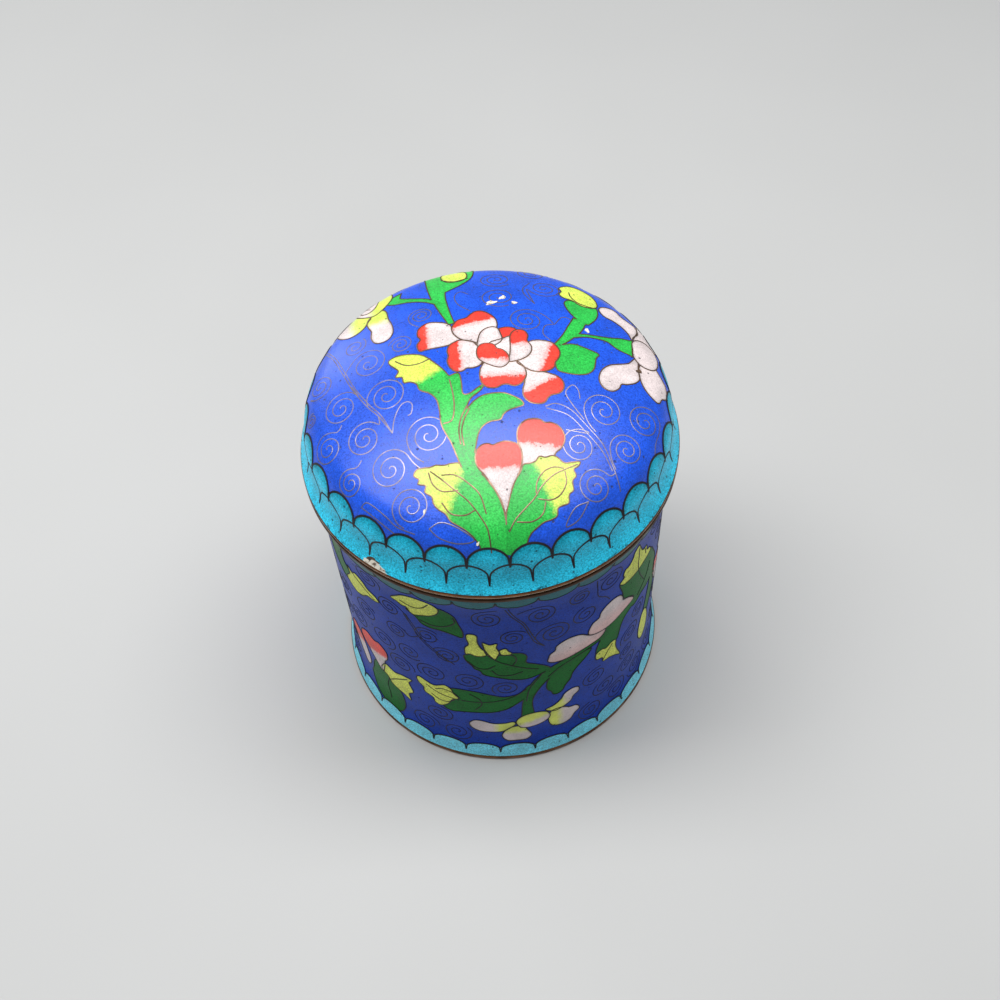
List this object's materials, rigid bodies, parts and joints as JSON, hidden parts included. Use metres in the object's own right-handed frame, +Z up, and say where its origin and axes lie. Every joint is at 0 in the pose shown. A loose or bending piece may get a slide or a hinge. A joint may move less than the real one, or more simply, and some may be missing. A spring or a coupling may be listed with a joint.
{
  "type": "cloisonne enamel box",
  "caption": "Round metal box in cobalt cloisonne enamel with flowers, leaves and scrolls, turquoise scalloped edges and a low domed lift-off lid.",
  "frame": {"origin": "centre of the foot, on the surface that the box stands on", "axes": "+Z up along the axis of the box, -Y towards the side the picture shows, +X to its right"},
  "size_m": [0.09, 0.09, 0.1139],
  "materials": {
    "body_enamel": "cobalt blue glass enamel with fine pits, semi-gloss, inlaid flowers and leaves between thin wires",
    "lid_enamel": "cobalt blue glass enamel with fine pits, semi-gloss, inlaid flowers, leaves and scrolls between thin wires",
    "rim_brass": "polished, lightly worn",
    "lid_copper": "tarnished copper, satin",
    "foot_copper": "tarnished copper, satin"
  },
  "bodies": {
    "root": {"foot_rim": "foot_copper", "body_wall": "body_enamel", "mouth_rim": "rim_brass", "lid_rim": "lid_copper", "lid_dome": "lid_enamel"}
  },
  "joints": []
}
